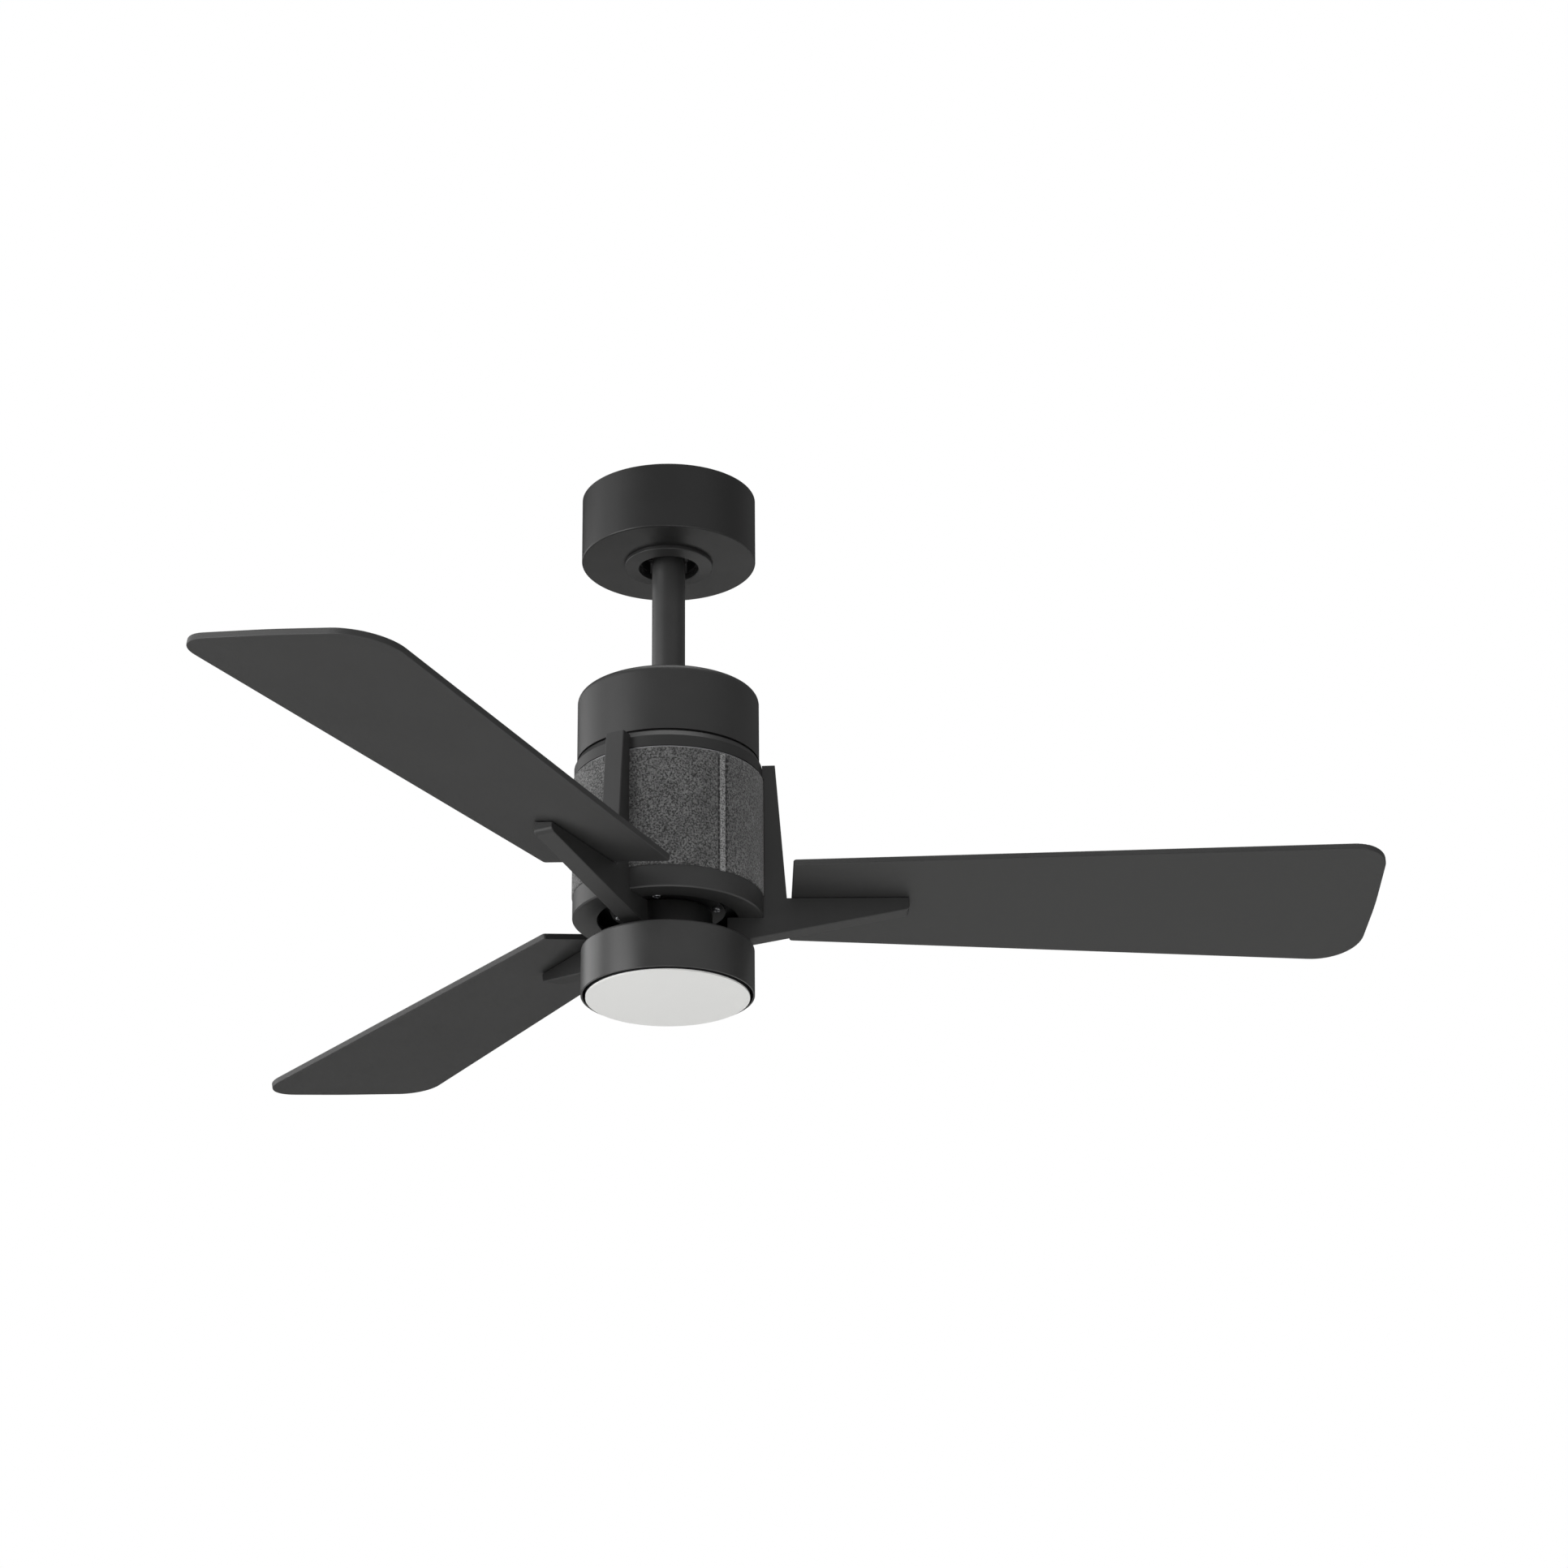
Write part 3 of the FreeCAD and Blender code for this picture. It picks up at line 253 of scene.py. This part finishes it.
def brushed(name, colour, roughness, stretch=(1, 1, 30)):
    """Bare metal with the fine lines of turning or rolling."""
    material, tree, shader = new_material(name)
    mapping = node(tree, "ShaderNodeMapping")
    mapping.inputs["Scale"].default_value = stretch
    tree.links.new(object_place(tree), mapping.inputs["Vector"])
    lines = noise(tree, mapping.outputs["Vector"], 90, 5, 0.65)
    low, high = shade(colour, 0.86), shade(colour, 1.08)
    tree.links.new(ramp(tree, lines, low, high, (0.35, 0.65)), shader.inputs["Base Color"])
    tree.links.new(scaled(tree, lines, roughness - 0.08, roughness + 0.10), shader.inputs["Roughness"])
    shader.inputs["Metallic"].default_value = 1.0
    bump(tree, shader, lines, 0.02 * MM, 0.5)
    return material


def moulded(name, colour, roughness, grain=0.03 * MM):
    """Moulded plastic or rubber: a fine even grain."""
    material, tree, shader = new_material(name)
    place = object_place(tree)
    grains = noise(tree, place, 900, 2)
    cloudy = noise(tree, place, 30, 3)
    low, high = shade(colour, 0.93), shade(colour, 1.05)
    tree.links.new(ramp(tree, cloudy, low, high, CLOUDS), shader.inputs["Base Color"])
    tree.links.new(scaled(tree, grains, roughness - 0.05, roughness + 0.05), shader.inputs["Roughness"])
    bump(tree, shader, grains, grain, 0.5)
    return material


def blade_paint(name, azimuth):
    """Black paint on a thin wooden blade, whose grain still shows faintly along its length."""
    material, tree, shader = new_material(name)
    turned = node(tree, "ShaderNodeMapping", vector_type="TEXTURE")
    turned.inputs["Rotation"].default_value = (0, 0, azimuth)
    tree.links.new(object_place(tree), turned.inputs["Vector"])
    along = node(tree, "ShaderNodeMapping")
    along.inputs["Scale"].default_value = (0.05, 1, 1)
    tree.links.new(turned.outputs["Vector"], along.inputs["Vector"])
    grain = noise(tree, along.outputs["Vector"], 420, 6, 0.6)
    cloudy = noise(tree, turned.outputs["Vector"], 14, 3)
    low, high = shade(BLADE_BLACK, 0.86), shade(BLADE_BLACK, 1.14)
    tree.links.new(ramp(tree, cloudy, low, high, CLOUDS), shader.inputs["Base Color"])
    tree.links.new(scaled(tree, cloudy, 0.46, 0.56), shader.inputs["Roughness"])
    bump(tree, shader, grain, 0.05 * MM, 0.5)
    return material


def leather(name, dark, pale, fleck_size=1.5 * MM, nap=0.8 * MM):
    """Charcoal split leather with a short nap: pale and dark flecks over soft cloudy patches."""
    material, tree, shader = new_material(name)
    place = object_place(tree)
    flecks = noise(tree, place, 1 / fleck_size, 5, 0.72)
    cloudy = noise(tree, place, 60, 4)
    fleck_colour = ramp(tree, flecks, dark, pale, (0.42, 0.59))
    cloud_colour = ramp(tree, cloudy, (0.80, 0.80, 0.80, 1), (1.15, 1.15, 1.15, 1), CLOUDS)
    mix = node(tree, "ShaderNodeMix", data_type="RGBA", blend_type="MULTIPLY")
    mix.inputs["Factor"].default_value = 1.0
    tree.links.new(fleck_colour, mix.inputs["A"])
    tree.links.new(cloud_colour, mix.inputs["B"])
    tree.links.new(mix.outputs["Result"], shader.inputs["Base Color"])
    tree.links.new(scaled(tree, flecks, 0.90, 0.62), shader.inputs["Roughness"])
    shader.inputs["Sheen Weight"].default_value = 0.2
    shader.inputs["Sheen Roughness"].default_value = 0.5
    bump(tree, shader, flecks, nap, 1.0)
    return material


def thread(name):
    """Waxed black thread, with its twist."""
    material, tree, shader = new_material(name)
    twist = noise(tree, object_place(tree), 2600, 2)
    colour = ramp(tree, twist, (0.006, 0.006, 0.007, 1), (0.020, 0.020, 0.021, 1))
    tree.links.new(colour, shader.inputs["Base Color"])
    shader.inputs["Roughness"].default_value = 0.55
    bump(tree, shader, twist, 0.1 * MM, 0.7)
    return material


def frosted(name):
    """The light's frosted white cover, with the light off."""
    material, tree, shader = new_material(name)
    place = object_place(tree)
    frost = noise(tree, place, 1800, 2)
    cloudy = noise(tree, place, 18, 2)
    colour = ramp(tree, cloudy, (0.815, 0.815, 0.805, 1), (0.845, 0.845, 0.835, 1))
    tree.links.new(colour, shader.inputs["Base Color"])
    tree.links.new(scaled(tree, frost, 0.50, 0.62), shader.inputs["Roughness"])
    shader.inputs["Specular IOR Level"].default_value = 0.3
    bump(tree, shader, frost, 0.02 * MM, 0.4)
    return material


# ---- finishes for the CAD nodes
def paint(material, *names):
    for name in names:
        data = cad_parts[name].data
        data.materials.clear()
        data.materials.append(material)


def paint_outside(blade_azimuths):
    """Each outside part gets its own shade of black, partly from its own finish and partly as painted light
    and shade: parts that catch more light get a lighter black, and the canopy's wall and the neck in the
    recess get a darker one.
    """
    def black(name, share, roughness, peel=PEEL):
        return coated(name, shade(BLACK_COAT, share), roughness, peel)

    # Shares above 1 are partly painted light: the housing, bottom ring, canopy ring, rod and light ring are
    # made lighter where they catch more light.
    paint(black("black_coat_housing", 1.15, 0.46), "upper_housing")
    paint(black("black_coat_trim", 0.8, 0.5), "trim_ring")
    paint(black("black_coat_rings", 1.35, 0.46), "bottom_ring")
    # The canopy's low share is partly painted shade on its dimmer wall, added to its satin finish.
    paint(black("black_satin", 0.35, 0.40), "canopy")
    paint(black("black_satin_ring", 1.2, 0.40), "canopy_ring")
    paint(black("black_coat_rod_painted_light", 1.8, 0.40), "downrod")
    paint(black("black_coat_light_ring_painted_light", 1.7, 0.36, 0.02 * MM), "light_ring")
    # The neck's low share is painted shade in the recess under the drum.
    paint(black("black_coat_neck_painted_shade", 0.6, 0.5), "light_neck")
    arms = black("black_cast", 1.2, 0.48, 0.06 * MM)
    for i, azimuth in enumerate(blade_azimuths, 1):
        paint(arms, "blade_arm_%d" % i)
        paint(blade_paint("blade_paint_%d" % i, azimuth), "blade_%d" % i)
    black_steel = coated("blackened_steel", BARE_BLACK, 0.38, 0.01 * MM)
    paint(black_steel, "canopy_screws", "housing_screws", "blade_screws", "hanger_bracket")
    paint(coated("black_retainer", BARE_BLACK, 0.6), "bearing_retainer", "rotor_bottom_bell")
    paint(moulded("black_rubber", (0.010, 0.010, 0.010, 1), 0.75, 0.08 * MM), "blade_pads")
    paint(moulded("black_bezel", (0.014, 0.014, 0.015, 1), 0.5), "lens_bezel")
    paint(frosted("frosted_lens"), "lens")


def paint_inside():
    """Hidden metal, plastic and electrical parts."""
    zinc = brushed("zinc_plate", (0.52, 0.53, 0.55, 1), 0.34)
    paint(
        zinc, "ground_screw", "ball_cross_pin", "ball_set_screw", "clevis_pin", "cotter_pin",
        "yoke_set_screws", "shaft_nut", "neck_screws", "led_posts", "led_screws", "through_bolts",
        "arm_foot_screws", "arm_top_screws", "base_plate", "retainer_screws",
    )
    cast_bell = brushed("cast_bell", (0.42, 0.42, 0.44, 1), 0.5, (1, 1, 3))
    paint(cast_bell, "rotor_top_bell", "drum_sleeve")
    motor_steel = brushed("motor_steel", (0.33, 0.34, 0.36, 1), 0.42, (1, 1, 60))
    paint(motor_steel, "stator_shaft", "stator_core", "rotor_iron_ring")
    bearing_steel = brushed("bearing_steel", (0.62, 0.62, 0.64, 1), 0.18)
    paint(bearing_steel, "bearing_inner_races", "bearing_outer_races", "bearing_balls")
    paint(brushed("copper_wire", (0.60, 0.24, 0.10, 1), 0.30, (1, 1, 40)), "stator_windings")
    paint(coated("cast_coupling", (0.05, 0.05, 0.055, 1), 0.62, 0.15 * MM), "motor_yoke")
    paint(coated("ferrite", (0.06, 0.06, 0.065, 1), 0.7, 0.1 * MM), "magnets")
    paint(moulded("black_nylon", (0.018, 0.018, 0.019, 1), 0.35), "hanger_ball", "ball_liner")
    paint(moulded("natural_nylon", (0.70, 0.70, 0.66, 1), 0.45), "board_standoffs")
    paint(moulded("solder_mask", (0.010, 0.090, 0.030, 1), 0.30), "control_board")
    paint(moulded("part_cases", (0.03, 0.03, 0.035, 1), 0.40), "board_components")
    paint(moulded("white_board", (0.82, 0.82, 0.80, 1), 0.40), "led_board")
    paint(moulded("phosphor", (0.85, 0.72, 0.30, 1), 0.5), "led_chips")
    paint(moulded("driver_case", (0.62, 0.62, 0.62, 1), 0.5), "led_driver")


# ---- the leather wrap
SEAM_AZIMUTH = math.radians(-55.8)
SEAM_DEPTH = 0.8 * MM         # how deep the stitches pull the leather down
SEAM_SOFT = 1.0 * MM          # half the width of each pulled groove
STRAP_HALF = 2.6 * MM         # half the width of the strip sewn over the seam
STRAP_THICK = 1.1 * MM
STRAP_WAVE = 0.6 * MM         # its lumps are 2 pi times this apart
STRAP_LUMPS = 0.16            # how tall the lumps are, as a share of its thickness
STRAP_END = 0.35              # the share of its thickness left at its ends
STRAP_SINK = 0.35 * MM        # its edges lie this far into the leather
STRAP_BACK = 0.9 * MM         # and its hidden back this far
STRAP_OVER = 0.6 * MM         # it hangs this far past the leather's lower edge
STRAP_SHORT = 0.9 * MM        # and stops this far under its upper one
STRAP_TAPER = 0.9 * MM        # the length over which its ends thin out
STRAP_RAGGED = 0.12 * MM      # how far its long edges wander
STRAP_GRAIN = 0.05 * MM       # how rough its face is
STITCH_OUT = 3.6 * MM         # from the seam's middle to each row of stitches
STITCH_PITCH = 4.6 * MM
STITCH_LENGTH = 3.2 * MM
STITCH_THICK = 1.3 * MM
STITCH_TAPER = 0.4            # the share of its thickness lost at its ends
STITCH_SINK = 0.35 * MM       # a stitch's middle is this far into the leather
STITCH_DIP = 0.6 * MM         # and its ends this much deeper
STITCH_SLANT = 0.2 * MM       # how far a stitch's ends may lean sideways
STITCH_MARGIN = 2.4 * MM      # bare leather past the first and last stitch, both together
NAP = 0.12 * MM               # how far the leather's surface wanders
EDGE_ROUND = 0.8 * MM
WRAP_THICK = 1.5 * MM
WRAP_INSET = 0.1 * MM         # from each ring to the leather's cut edge
SKIN = 0.25 * MM              # the wrap's surface lies this far inside the CAD band's


def smooth_step(value, low, high):
    t = min(1.0, max(0.0, (value - low) / (high - low)))
    return t * t * (3 - 2 * t)


def seam_relief(across):
    """How far the stitches move the leather's surface, at a distance along it from the seam."""
    return -SEAM_DEPTH * math.exp(-(((abs(across) - STITCH_OUT) / SEAM_SOFT) ** 2))


def add_piece(name, mesh, material):
    """Makes a leather piece on the rotor from a bmesh."""
    data = bpy.data.meshes.new(name)
    mesh.to_mesh(data)
    mesh.free()
    for polygon in data.polygons:
        polygon.use_smooth = True
    data.materials.append(material)
    piece = bpy.data.objects.new(name, data)
    bpy.context.collection.objects.link(piece)
    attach(piece, "rotor")
    return piece


def bridge(mesh, loops):
    """Joins neighbouring closed loops of vertices with quads."""
    for a, b in zip(loops, loops[1:]):
        for i in range(len(a)):
            j = (i + 1) % len(a)
            mesh.faces.new((a[i], a[j], b[j], b[i]))


def make_leather_wrap(outside, bottom, top):
    """The band itself, a thin tube whose cut edges turn in at the top and bottom."""
    random.seed(7)
    around = 960
    rows = 110
    waves = [                 # how many round the drum, where each starts, its size
        (random.randint(3, 40), random.uniform(0, 6.28), random.uniform(0.2, 1)) for _ in range(12)
    ]
    inner = outside - WRAP_THICK
    profile = [(inner, bottom + EDGE_ROUND)]
    for row in range(rows + 1):
        z = bottom + (top - bottom) * row / rows
        inside = max(0.0, EDGE_ROUND - min(z - bottom, top - z))
        profile.append((outside - EDGE_ROUND + math.sqrt(EDGE_ROUND ** 2 - inside ** 2), z))
    profile.append((inner, top - EDGE_ROUND))
    mesh = bmesh.new()
    loops = []
    for radius, z in profile:
        ring = []
        for i in range(around):
            turn = 2 * math.pi * i / around
            across = outside * ((turn + math.pi) % (2 * math.pi) - math.pi)
            wander = sum(size * math.sin(n * turn + start) for n, start, size in waves) / len(waves)
            lifted = radius + (0 if radius == inner else seam_relief(across) + NAP * wander)
            angle = SEAM_AZIMUTH + turn
            ring.append(mesh.verts.new((lifted * math.cos(angle), lifted * math.sin(angle), z)))
        loops.append(ring)
    bridge(mesh, loops)
    hide = leather("charcoal_leather", (0.004, 0.004, 0.004, 1), (0.170, 0.170, 0.170, 1))
    band = add_piece("leather_wrap", mesh, hide)
    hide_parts("leather_band")


def make_seam_strap(outside, bottom, top):
    """The narrow strip of paler, frayed leather between the two rows of stitches."""
    random.seed(11)
    rows = 130
    columns = 14
    low, high = bottom - STRAP_OVER, top - STRAP_SHORT
    mesh = bmesh.new()
    loops = []
    for row in range(rows + 1):
        z = low + (high - low) * row / rows
        ends = smooth_step(min(z - low, high - z), 0, STRAP_TAPER)
        ragged = [random.uniform(-STRAP_RAGGED, STRAP_RAGGED) for _ in range(2)]
        line = []
        for column in range(columns + 1):
            share = 2 * column / columns - 1
            across = share * STRAP_HALF + (ragged[0] if share < 0 else ragged[1]) * abs(share)
            lumps = 1 + STRAP_LUMPS * math.sin(z / STRAP_WAVE + share)
            crown = math.sqrt(max(0.0, 1 - abs(share) ** 3)) * lumps
            grain = random.uniform(-STRAP_GRAIN, STRAP_GRAIN)
            lift = STRAP_THICK * crown * (STRAP_END + (1 - STRAP_END) * ends) + grain
            angle = SEAM_AZIMUTH + across / outside
            radius = outside - STRAP_SINK + lift
            line.append(mesh.verts.new((radius * math.cos(angle), radius * math.sin(angle), z)))
        back = []
        for share in (1, -1):
            angle = SEAM_AZIMUTH + share * STRAP_HALF / outside
            radius = outside - STRAP_BACK
            back.append(mesh.verts.new((radius * math.cos(angle), radius * math.sin(angle), z)))
        loops.append(line + back)
    bridge(mesh, loops)
    mesh.faces.new(list(reversed(loops[0])))
    mesh.faces.new(loops[-1])
    bmesh.ops.recalc_face_normals(mesh, faces=mesh.faces)
    frayed = leather("frayed_leather", (0.05, 0.05, 0.05, 1), (0.42, 0.42, 0.42, 1), 1.1 * MM, 0.7 * MM)
    add_piece("seam_strap", mesh, frayed)


def make_stitches(outside, bottom, top):
    """Two rows of short dark stitches, each sunk at both ends."""
    random.seed(3)
    count = int((top - bottom - STITCH_MARGIN) / STITCH_PITCH)
    first = (bottom + top - (count - 1) * STITCH_PITCH) / 2
    sides = 8
    steps = 6
    mesh = bmesh.new()
    for side in (-1, 1):
        angle = SEAM_AZIMUTH + side * STITCH_OUT / outside
        out = Vector((math.cos(angle), math.sin(angle), 0))
        across = Vector((-math.sin(angle), math.cos(angle), 0))
        for n in range(count):
            slant = random.uniform(-STITCH_SLANT, STITCH_SLANT)
            loops = []
            for step in range(steps + 1):
                t = 2 * step / steps - 1
                centre = out * (outside - STITCH_SINK - STITCH_DIP * t * t) + across * (slant * t)
                centre.z = first + n * STITCH_PITCH + STITCH_LENGTH / 2 * t
                thick = STITCH_THICK / 2 * (1 - STITCH_TAPER * t * t)
                loop = []
                for corner in range(sides):
                    w = 2 * math.pi * corner / sides
                    loop.append(mesh.verts.new(centre + (out * math.cos(w) + across * math.sin(w)) * thick))
                loops.append(loop)
            bridge(mesh, loops)
            mesh.faces.new(list(reversed(loops[0])))
            mesh.faces.new(loops[-1])
    bmesh.ops.recalc_face_normals(mesh, faces=mesh.faces)
    add_piece("seam_stitches", mesh, thread("waxed_thread"))


def make_leather():
    low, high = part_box("leather_band")
    place = (high.x - SKIN, low.z + WRAP_INSET, high.z - WRAP_INSET)
    make_leather_wrap(*place)
    make_seam_strap(*place)
    make_stitches(*place)


FIRST_ARM = math.radians(0.4)
BLADES = 3

make_camera()
make_world()
make_floor()
make_lamps()
make_skylight()
paint_outside([FIRST_ARM + i * 2 * math.pi / BLADES for i in range(BLADES)])
paint_inside()
make_leather()
bpy.context.scene.view_settings.view_transform = "Standard"
